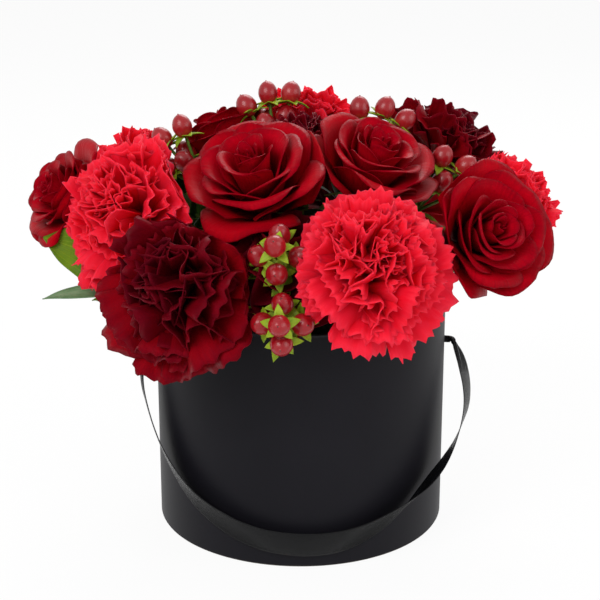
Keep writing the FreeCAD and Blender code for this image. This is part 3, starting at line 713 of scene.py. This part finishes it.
# carnations: rules as for the roses, and one set of numbers for each of the two kinds
carnationPiece = {
    "thickness": 0.0004, "rows": 12, "columns": 41, "backShare": 0.26,
    "foot": (3, 44, 1), "belly": (4, 74, 0.9), "lip": (10, 88, 0.85), "roll": (0, 22, 1),
    "length": (0.82, 0.30, 1), "corner": 0.10, "rise": 0.12, "shift": 0.10,
    "chance": {"belly": 9, "lip": 14, "roll": 14, "length": 0.10, "fan": 6, "twist": 0.16, "turn": 0.45},
    "carnation": {
        "petals": 38, "teeth": 0.10, "toothCount": 7, "fold": 0.20, "fine": 0.042, "fan": 44, "yaw": 1.2,
    },
    "burgundy": {
        "petals": 32, "teeth": 0.06, "toothCount": 5, "fold": 0.23, "fine": 0.028, "fan": 46, "yaw": 0.9,
    },
    "stem": 0.002, "stemRings": 12, "knobs": 0.05, "intoCalyx": 0.002, "calyx": 0.0055, "calyxLength": 0.020,
    "calyxSides": [(0.4, 0.0), (0.72, 0.03), (0.84, 0.2), (0.9, 0.45), (0.97, 0.75), (1.0, 0.97), (0.8, 1.0)],
    "points": 5, "pointSeat": 0.004, "pointTilt": 1.0, "pointDroop": 0.5,
    "point": Cut(0.009, 0.006, 0.1, 0.0004, 0.7, 6, 5),
    "bracts": 4, "bractSeat": 0.0005, "bractTilt": 1.2, "bractDroop": 0.3,
    "bract": Cut(0.007, 0.006, 0.1, 0.0005, 0.8, 6, 5),
}


def carnationPetal(k, radius, kind, rows, columns, chance):
    rules, make, moves = carnationPiece, carnationPiece[kind], carnationPiece["chance"]
    share = (k + 0.5) / make["petals"]
    wobble, sway, twist = chance.uniform(-1, 1), chance.uniform(-1, 1), chance.uniform(-1, 1)
    wave, ripple = chance.uniform(0, fullTurn), chance.uniform(0, fullTurn)
    inner = 1 - smooth(share, 0.15, 0.75)
    length = radius * grow(rules["length"], share) * (1 + moves["length"] * wobble)
    angles = (
        grow(rules["foot"], share),
        grow(rules["belly"], share) + moves["belly"] * sway * (0.5 + inner),
        grow(rules["lip"], share) + moves["lip"] * wobble,
        grow(rules["roll"], share) + moves["roll"] * sway,
    )
    steps, across, up, way = bend(angles, length)
    fan = columns * math.radians(make["fan"] + moves["fan"] * chance.random()) * (1 - 0.3 * inner)
    saw = np.abs(((columns * make["toothCount"] + wave) % 1) - 0.5) * 2
    jag = saw * (0.5 + 0.5 * np.sin(columns * 9 + ripple) ** 2)
    trim = 1 + make["teeth"] * (jag - 0.6) * smooth(rows, 0.72, 1)
    trim = trim - rules["corner"] * columns ** 4 * smooth(rows, 0.5, 1)
    reach = np.clip(rows * trim * np.cos(0.8 * fan) * 0.98, 0, 1)
    sideways = length * rows * trim * np.sin(fan)
    out = np.interp(reach, steps, across)
    high = np.interp(reach, steps, up) + radius * rules["rise"] * (1 - share)
    tilt = np.interp(reach, steps, way)
    folds = np.sin(columns * (4.6 + 0.5 * inner) + wave) + 0.5 * np.sin(columns * 8.5 + ripple + rows * 1.5)
    lift = radius * make["fold"] * (0.52 + 0.48 * inner) * rows ** 1.5 * folds
    lift = lift + radius * make["fine"] * np.sin(columns * 21 + wave + ripple) * rows ** 3
    lift = lift + radius * moves["twist"] * twist * (0.35 + inner) * rows * columns
    out = out + lift * np.cos(tilt)
    high = high - lift * np.sin(tilt)
    yaw = make["yaw"] * inner * chance.uniform(-1, 1)  # the inner petals crumple past each other
    middle = float(out[-4:].mean())
    turned = middle + (out - middle) * math.cos(yaw) - sideways * math.sin(yaw)
    sideways = (out - middle) * math.sin(yaw) + sideways * math.cos(yaw)
    x, y = turnFlat(turned, sideways, k * golden + moves["turn"] * sway)
    shift = radius * rules["shift"] * inner * make["yaw"]
    return x, y, high, shift, np.clip(0.8 * share + 0.3 * chance.random() - 0.05, 0, 1)


def makeCarnation(name, entry, seed):
    chance = random.Random(seed)
    gather = Gather()
    kind = name.split("_")[0]
    rows = np.linspace(0.10, 1, carnationPiece["rows"])[:, None] ** 0.8
    columns = np.linspace(-1, 1, carnationPiece["columns"])[None, :]
    for k in range(carnationPiece[kind]["petals"]):
        x, y, high, shift, tone = carnationPetal(k, entry.radius * entry.full, kind, rows, columns, chance)
        # the heart sits a little off the middle
        grid = np.stack([x + shift * math.cos(seed), y + shift * math.sin(seed), high], -1)
        shell(gather, grid, carnationPiece["thickness"], rows, columns, tone)
    base = entry.reach - carnationPiece["backShare"] * entry.radius
    piece = gather.make(pieceName(name) + "Petals", [looks[kind]], settle(name, entry, base))
    fit(piece, name + "_bloom", "insert", kind + "_petal")
    makeCarnationStem(name, entry, base, chance)


def makeCarnationStem(name, entry, base, chance):
    make = carnationPiece
    gather = Gather()
    long, cup, stem = make["calyxLength"], make["calyx"], make["stem"]
    low = base - long
    radii = [stem * (1 + make["knobs"] * math.sin(7 * i)) for i in range(make["stemRings"])]
    upright(gather, stemStart, low + make["intoCalyx"], radii)
    lathe(gather, [(cup * wide, low + long * up) for wide, up in make["calyxSides"]], 20, 1)
    for i in range(make["points"]):  # the calyx's own points
        spin = 2 * math.pi * i / make["points"]
        place = setting(onRing(0.92 * cup, spin, base - make["pointSeat"]), upward, spin, make["pointTilt"])
        blade(gather, place, make["point"], make["pointDroop"])
    for i in range(make["bracts"]):  # bracts at its foot
        spin = 2 * math.pi * i / make["bracts"] + chance.uniform(-0.2, 0.2)
        place = setting(onRing(0.6 * cup, spin, low + make["bractSeat"]), upward, spin, make["bractTilt"])
        blade(gather, place, make["bract"], make["bractDroop"])
    materials = [looks["stem"], looks["calyx"]]
    piece = gather.make(pieceName(name) + "Stem", materials, stand(entry.azimuth, entry.lean))
    fit(piece, name + "_stem", "insert", "green_stem")


for number, (name, entry) in enumerate(carnations.items()):
    makeCarnation(name, entry, 41 + number)
print("carnations made:", len(carnations))

# dark petals low down, between the two front sprigs and the blooms beside them
fillerPiece = {
    "radius": 0.030, "reach": 0.072, "azimuth": -97, "lean": 58, "petals": 16, "rows": 9, "columns": 17,
    "foot": (5, 50, 1), "belly": (10, 74, 1), "lip": (20, 70, 1), "roll": 20, "long": 1.1, "fold": 0.14,
    "stemStart": 0.05, "intoBloom": 0.004, "stem": [0.002, 0.002, 0.002, 0.0025, 0.004, 0.005],
}


def makeFiller(seed):
    make = fillerPiece
    chance = random.Random(seed)
    gather = Gather()
    radius, reach = make["radius"], make["reach"]
    rows = np.linspace(0.1, 1, make["rows"])[:, None]
    columns = np.linspace(-1, 1, make["columns"])[None, :]
    for k in range(make["petals"]):
        share = (k + 0.5) / make["petals"]
        wave = chance.uniform(0, fullTurn)
        angles = [grow(make[part], share) for part in ("foot", "belly", "lip")]
        steps, across, up, _ = bend([*angles, make["roll"] * wave / fullTurn], radius * make["long"])
        cut = np.clip(rows * np.cos(columns * 0.6), 0, 1)
        fold = radius * make["fold"] * np.sin(columns * 4 + wave) * rows ** 1.5
        out, high = np.interp(cut, steps, across) + fold, np.interp(cut, steps, up) - fold
        spread = radius * make["long"] * rows * np.sin(columns * 0.8)
        x, y = turnFlat(out, spread, k * golden)
        grid = np.stack([x, y, high + reach], -1)
        shell(gather, grid, carnationPiece["thickness"], rows, columns, 0.3 * chance.random())
    upright(gather, make["stemStart"], reach + make["intoBloom"], make["stem"], 12, 1)
    materials = [looks["burgundy"], looks["calyx"]]
    piece = gather.make("burgundyFiller", materials, stand(make["azimuth"], make["lean"]))
    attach(piece, "insert")


makeFiller(97)
print("filler made")

# hypericum sprigs
sprigPiece = {
    "berry": 0.0116, "berryLength": 0.0135, "fat": (0.93, 1.0), "long": (0.94, 1.0), "gap": 0.00025,
    "topRise": 1.05, "ringDrop": 0.2, "raised": (0.0128, 0.0125),
    "fork": 0.024, "stem": 0.0014, "branch": 0.0008, "bow": 0.0012, "intoBerry": 0.0006,
    "egg": [
        (0.06, 0.0), (0.42, 0.035), (0.68, 0.11), (0.87, 0.24), (0.98, 0.40), (0.99, 0.52),
        (0.9, 0.68), (0.72, 0.82), (0.46, 0.925), (0.2, 0.975), (0.09, 0.985), (0.05, 1.02),
    ],
    "sepals": 5, "sepalSeat": 0.0002, "sepalSize": (0.85, 1.1), "sepalTilt": (0.05, 0.5),
    "sepalDroop": (0.3, 1.0), "sepal": Cut(0.0106, 0.0056, 0.3, 0.0005, 0.9, 7, 5),
    "leaflets": 4, "leafletStep": 0.002, "leafletSize": (0.8, 1.15), "leafletTilt": (0.5, 0.9),
    "leafletDroop": 0.7, "leaflet": Cut(0.021, 0.0088, 0.25, 0.0005, 0.9, 9, 7),
}


# the middle of each berry: one on top, a ring that steps up and down, and the raised ones
def berryLines(entry):
    long = sprigPiece["berryLength"]
    ring = entry.radius - sprigPiece["berry"] / 2
    room = sprigPiece["berry"] / 2 + sprigPiece["gap"]
    count = int(math.pi / math.asin(room / ring))
    tips = [np.array([0, 0, entry.reach + sprigPiece["topRise"] * long])]
    for i in range(count):
        drop = sprigPiece["ringDrop"] * long * (i % 2)
        tips.append(np.array(onRing(ring, 2 * math.pi * i / count, entry.reach - drop)))
    wide, high = sprigPiece["raised"]
    for i in range(entry.raised):
        turn = math.pi * i - math.radians(entry.azimuth)
        tips.append(np.array(onRing(wide, turn, entry.reach + high * (1 - 0.3 * i))))
    return tips


def makeBerry(berries, green, tip, fork, chance):
    make = sprigPiece
    long = make["berryLength"]
    way = (tip - fork) / np.linalg.norm(tip - fork)
    seat = tip - way * long / 2
    turn = pointing(way)
    fat = make["berry"] / 2 * chance.uniform(*make["fat"])
    stretchBy = chance.uniform(*make["long"])
    egg = [(fat * wide, long * stretchBy * up) for wide, up in make["egg"]]
    lathe(berries, egg, 20, 0, chance.random(), lambda points: points @ turn.T + seat)
    side = np.cross(way, [0.2, 0.4, 0.9]) * make["bow"]
    branch = curve([fork, (fork + seat) / 2 + side, seat + way * make["intoBerry"]], 8)
    tube(green, branch, [make["branch"] * (0.9 + 0.03 * i) for i in range(8)], 8)
    for i in range(make["sepals"]):
        spin = 2 * math.pi * i / make["sepals"] + chance.uniform(-0.25, 0.25)
        size = chance.uniform(*make["sepalSize"])
        place = setting(seat + way * make["sepalSeat"], way, spin, chance.uniform(*make["sepalTilt"]))
        droop = chance.uniform(*make["sepalDroop"])
        blade(green, place, make["sepal"], droop, size, tone=chance.random())


def makeSprig(name, entry, seed):
    make = sprigPiece
    chance = random.Random(seed)
    berries, green = Gather(), Gather()
    fork = np.array([0, 0, entry.reach - make["fork"]])
    upright(green, stemStart, fork[2], [make["stem"] * (1.1 - 0.02 * i) for i in range(10)], 10)
    for tip in berryLines(entry):
        makeBerry(berries, green, tip, fork, chance)
    for i in range(make["leaflets"]):  # small leaves at the fork
        spin = math.pi / 2 * i + chance.uniform(-0.4, 0.4)
        spot = fork + np.array([0, 0, -make["leafletStep"] * (i % 2)])
        size = chance.uniform(*make["leafletSize"])
        place = setting(spot, upward, spin, chance.uniform(*make["leafletTilt"]))
        blade(green, place, make["leaflet"], make["leafletDroop"], size, tone=chance.random())
    place = stand(entry.azimuth, entry.lean)
    fruit = berries.make(pieceName(name) + "Berries", [looks["berry"]], place)
    fit(fruit, name + "_berries", "insert", "berry")
    stalk = green.make(pieceName(name) + "Stalk", [looks["stem"], looks["sepal"]], place)
    fit(stalk, name + "_stem", "insert", "green_stem")


for number, (name, entry) in enumerate(sprigs.items()):
    makeSprig(name, entry, 71 + number)
print("sprigs made:", len(sprigs))

# foliage that closes the gaps between the stems: azimuth, lean and reach of each shoot
foliagePiece = {
    "stem": 0.0011, "stemStart": 0.045, "leaves": 7, "leafStep": 0.0022, "leafSize": (0.75, 1.1),
    "leafTilt": (0.35, 0.13), "leafDroop": (0.3, 0.9), "leaf": Cut(0.030, 0.0115, 0.2, 0.0004, 0.9, 12, 7),
    "shoots": [
        (-171, 44, 0.084), (166, 48, 0.090), (172, 26, 0.070), (150, 22, 0.066), (4, 34, 0.080),
        (48, 32, 0.074), (62, 52, 0.070), (122, 44, 0.070), (-36, 50, 0.070), (5, 56, 0.072),
        (174, 66, 0.088), (32, 68, 0.074), (138, 68, 0.078),
    ],
}


def makeFoliage(seed):
    make = foliagePiece
    chance = random.Random(seed)
    gather = Gather()
    lowTilt, moreTilt = make["leafTilt"]
    for azimuth, lean, reach in make["shoots"]:
        place = stand(azimuth, lean)
        upright(gather, make["stemStart"], reach, [make["stem"]] * 6, 8, 1, place)
        for i in range(make["leaves"]):
            spot = (0, 0, reach - make["leafStep"] * (make["leaves"] - 1 - i))
            size = chance.uniform(*make["leafSize"])
            raised = setting(spot, upward, i * golden, lowTilt + moreTilt * i + chance.uniform(-0.15, 0.15))
            droop = chance.uniform(*make["leafDroop"])
            blade(gather, lambda points: place(raised(points)), make["leaf"], droop, size, look=0)
    piece = gather.make("foliage", [looks["foliage"], looks["stem"]])
    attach(piece, "insert")


makeFoliage(7)
print("foliage made:", len(foliagePiece["shoots"]))

# leaves: spin turns one about its own line, and start is how far beyond the rim its blade begins
leafPiece = {
    "bend": 0.110, "petiole": 0.0013, "petioleStart": 0.046, "thickness": 0.0006, "rows": 28, "columns": 15,
}
Leaf = namedtuple("Leaf", "length width azimuth lean spin start fold look")
leaves = {
    "broad_leaf": Leaf(0.052, 0.030, -165, 69, 8, 0.012, 0.12, "broadLeaf"),
    "blade_leaf": Leaf(0.056, 0.011, -159, 76, 60, 0.008, 0.3, "bladeLeaf"),
    "small_leaf": Leaf(0.030, 0.014, -152, 76, 130, 0.014, 0.15, "broadLeaf"),
}


def makeLeaf(name, entry):
    gather = Gather()
    arc, long, wide = leafPiece["bend"], entry.length, entry.width
    root = wallRadius / math.sin(math.radians(entry.lean)) + entry.start
    along = np.linspace(0, 1, leafPiece["rows"])[:, None]
    across = np.linspace(-1, 1, leafPiece["columns"])[None, :]
    half = wide / 2 * np.sin(math.pi * np.clip(along, 0.01, 0.99) ** 0.86) ** 0.85
    half = half * (1 + 0.03 * np.sin(along * 17))
    swing = along * long / arc
    high = root + arc * np.sin(swing)
    back = arc * (np.cos(swing) - 1)
    ripple = 0.03 * wide * np.sin(along * 13 + 2) * np.abs(across) ** 2
    grid = np.stack([half * across, back + entry.fold * half * np.abs(across) + ripple, high + 0 * across], -1)
    shell(gather, grid, leafPiece["thickness"], along, across, 0.5)
    heights = np.linspace(leafPiece["petioleStart"], root + 0.12 * long, 12)
    past = np.maximum(heights - root, 0)  # the petiole runs on under the blade, along its bend
    path = [(0, -(h * h) / (2 * arc), z) for h, z in zip(past, heights)]
    tube(gather, path, np.linspace(1.0, 0.6, 12) * leafPiece["petiole"], 10, 1)
    materials = [looks[entry.look], looks["stem"]]
    piece = gather.make(pieceName(name), materials, stand(entry.azimuth, entry.lean, entry.spin))
    fit(piece, name, "insert", "leaf")


for name, entry in leaves.items():
    makeLeaf(name, entry)
print("leaves made:", len(leaves))

# the ribbon's route: azimuth, stand-off in mm, share of the holes' height, lean and share of its width
ribbonPiece = {
    "width": 0.015, "thickness": 0.0004, "rows": 300, "columns": 15,
    "neck": (0.0704, 0.0833), "neckShares": [0.27, 0.28], "leastShare": 0.25,
    "pleat": 0.17, "pleats": 3, "crown": 0.05,
    "route": [
        (-179.2, 6.6, 0.970, 0, 0.45), (-174, 8.2, 0.915, -3, 0.75), (-169, 8.8, 0.820, 2, 0.95),
        (-164, 8.2, 0.735, 10, 1), (-159.3, 6.8, 0.635, 16, 1), (-153.5, 5.8, 0.548, 22, 1),
        (-147.5, 5.0, 0.467, 24, 1), (-140.3, 4.8, 0.392, 25, 1), (-132.5, 4.9, 0.325, 25, 1),
        (-125.5, 4.8, 0.275, 23, 1), (-119, 4.4, 0.235, 20, 1), (-112, 4.2, 0.199, 18, 1),
        (-102, 4.1, 0.166, 15, 1), (-89.5, 4.2, 0.151, 13, 1), (-77.8, 4.3, 0.156, 16, 1),
        (-67.3, 4.8, 0.187, 24, 1), (-57, 5.5, 0.241, 33, 1), (-48.5, 6.4, 0.299, 44, 1),
        (-40.7, 7.2, 0.355, 53, 1), (-33.3, 7.8, 0.410, 51, 1), (-26.6, 9.2, 0.472, 38, 1),
        (-20.6, 11.2, 0.548, 21, 1), (-15.8, 12.8, 0.630, 7, 1), (-12.2, 13.6, 0.704, -6, 1),
        (-9.4, 13.0, 0.775, -14, 1), (-6.8, 11.4, 0.845, -20, 1), (-4.6, 9.4, 0.905, -22, 0.9),
        (-2.6, 7.2, 0.955, -18, 0.7), (-1.1, 5.0, 0.990, -8, 0.45),
    ],
}


def makeRibbon():
    make = ribbonPiece
    inner, outer = make["neck"]
    spots, ways, leans, shares = [], [], [], []
    for azimuth, gap, share, lean, wide in make["route"]:
        turn = math.radians(azimuth)
        ways.append((math.cos(turn), math.sin(turn), 0))
        spots.append(np.array(ways[-1]) * (wallRadius + gap / 1000) + np.array([0, 0, holeHeight * share]))
        leans.append(math.radians(lean))
        shares.append(wide)
    necks = [np.array([x, 0, holeHeight]) for x in (-inner, -outer, outer, inner)]
    path = np.array(necks[:2] + spots + necks[2:])
    runs = unit(np.gradient(path, axis=0)[2:-2])
    ways = squareTo(np.array(ways), runs)
    ups = np.cross(ways, runs)
    tilts = ups * np.cos(leans)[:, None] + ways * np.sin(leans)[:, None]
    end = np.array([[0, -1.0, 0]] * 2)
    tilts = np.vstack([end, tilts, end])
    shares = np.concatenate([make["neckShares"], shares, make["neckShares"][::-1]])
    steps = make["rows"]
    line = curve(path, steps)
    run = unit(np.gradient(line, axis=0))
    tilt = squareTo(curve(tilts, steps), run)
    face = np.cross(tilt, run)
    share = np.clip(curve(shares[:, None], steps), make["leastShare"], 1)
    across = np.linspace(-1, 1, make["columns"])[None, :]
    half = make["width"] / 2
    gathered = np.sqrt(1 - share ** 2)  # pleated where it narrows to the holes
    pleat = make["pleat"] * half * gathered * np.sin(make["pleats"] * math.pi * across)
    crown = make["crown"] * half * (1 - across ** 2) * share
    grid = line[:, None, :] + tilt[:, None, :] * (half * share * across)[:, :, None]
    grid = grid + face[:, None, :] * (pleat - crown)[:, :, None]
    along = np.linspace(0, 1, steps)[:, None]
    gather = Gather()
    shell(gather, grid, make["thickness"], along, across, 0.5)
    piece = gather.make("ribbonStrip", [looks["satin"]])
    fit(piece, "ribbon_handle", "handle", "ribbon")


makeRibbon()

# an overhand knot holds each end inside the wall
knotPiece = {
    "x": 0.0739, "length": 0.0070, "across": 0.0100, "thick": 0.0015, "lumps": 0.12,
    "tailRadius": (0.0014, 0.0022),
    "tail": [(0.002, 0.0, 0.0), (0.006, -0.001, -0.003), (0.007, -0.002, -0.010), (0.0065, -0.002, -0.016)],
}


def makeKnot(node, side):
    make = knotPiece
    gather = Gather()
    turn = np.linspace(0, 2 * math.pi, 90)
    deep, wide = make["length"] / 2 - make["thick"], make["across"] / 2 - make["thick"]
    path = np.stack([
        make["x"] * side - deep * np.sin(3 * turn),
        wide / 3 * (np.sin(turn) + 2 * np.sin(2 * turn)),
        holeHeight + wide / 3 * (np.cos(turn) - 2 * np.cos(2 * turn)),
    ], -1)
    tube(gather, path, make["thick"] * (1 + make["lumps"] * np.sin(turn * 7)), 10)
    tail = curve([(side * (make["x"] - inward), y, holeHeight + z) for inward, y, z in make["tail"]], 14)
    tube(gather, tail, np.linspace(*make["tailRadius"], 14), 8)
    piece = gather.make(pieceName(node), [looks["satin"]])
    fit(piece, node, "handle", "ribbon")


makeKnot("left_knot", -1)
makeKnot("right_knot", 1)
print("knots made")

# finishes on the pieces that keep their solids
kept = {
    "box_wall": "board", "outer_wrap": "paper", "box_base": "board", "liner_pot": "liner", "foam_block": "foam",
}
for node, look in kept.items():
    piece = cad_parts[node]
    piece.data.materials.clear()
    piece.data.materials.append(looks[look])
print("solids finished:", len(kept))

# studio: each lamp's place, the height that it looks at, its power and its width
studio = {
    "floor": 6.0, "floorWhite": 0.92, "sky": 0.5,
    "lamps": {
        "keyLamp": ((-0.7, -1.1, 1.1), 0.15, 15.0, 0.9),
        "fillLamp": ((1.1, -0.6, 0.6), 0.12, 5.0, 0.9),
        "backLamp": ((0.2, 0.9, 1.1), 0.18, 9.0, 0.8),
    },
}


# one for what the camera, reflections and clear pieces see, and none for the light itself
def seenWhite(finish):
    camera = finish.node("ShaderNodeLightPath", out="Is Camera Ray")
    rays = camera.socket.node.outputs
    sight = camera + Wire(finish, rays["Is Glossy Ray"]) + Wire(finish, rays["Is Transmission Ray"])
    return finish.node("ShaderNodeClamp", {}, {0: sight})


def floorFinish():
    made = Finish("paleFloor", Roughness=0.9, Specular_IOR_Level=0.1, Base_Color=(0.9, 0.9, 0.9, 1))
    glow = made.node("ShaderNodeEmission", {}, {"Color": (1, 1, 1, 1), "Strength": 1.0})
    lit = Wire(made, made.shader.outputs[0])
    white = seenWhite(made) * studio["floorWhite"]
    mixed = made.node("ShaderNodeMixShader", {}, {0: white, 1: lit, 2: glow})
    made.tree.links.new(mixed.socket, made.tree.nodes["Material Output"].inputs["Surface"])
    return made.material


floor = bpy.data.meshes.new("floor")
size = studio["floor"]
corners = [(-size, -size, 0), (size, -size, 0), (size, size, 0), (-size, size, 0)]
floor.from_pydata(corners, [], [(0, 1, 2, 3)])
floor.materials.append(floorFinish())
floorPiece = bpy.data.objects.new("floor", floor)
scene.collection.objects.link(floorPiece)


class Sky(Finish):
    def __init__(self, name):
        self.material = bpy.data.worlds.new(name)
        self.material.use_nodes = True
        self.tree = self.material.node_tree
        self.shader = self.tree.nodes["Background"]


sky = Sky("studio")
sky.shader.inputs["Color"].default_value = (1, 1, 1, 1)
sky.feed("Strength", sky.between(seenWhite(sky), 0.0, 1.0, (studio["sky"], 1.0)))
scene.world = sky.material


def lamp(name, spot, height, power, width):
    light = bpy.data.lights.new(name, "AREA")
    light.energy = power
    light.size = width
    holder = bpy.data.objects.new(name, light)
    holder.location = spot
    holder.rotation_euler = (Vector((0, 0, height)) - Vector(spot)).to_track_quat("-Z", "Y").to_euler()
    scene.collection.objects.link(holder)


for name, entry in studio["lamps"].items():
    lamp(name, *entry)

# camera at the photograph's angle
view = {"target": (-0.00034, 0.0, 0.1232), "distance": 0.8899, "elevation": 18.24, "lens": 95.96}
camera = bpy.data.cameras.new("camera")
camera.lens = view["lens"]
camera.sensor_width = 36
cameraHolder = bpy.data.objects.new("camera", camera)
rise = math.radians(view["elevation"])
back = Vector((0, -math.cos(rise), math.sin(rise))) * view["distance"]
cameraHolder.location = Vector(view["target"]) + back
cameraHolder.rotation_euler = (-back).to_track_quat("-Z", "Y").to_euler()
scene.collection.objects.link(cameraHolder)
scene.camera = cameraHolder
scene.view_settings.view_transform = "Standard"

print("scene made")
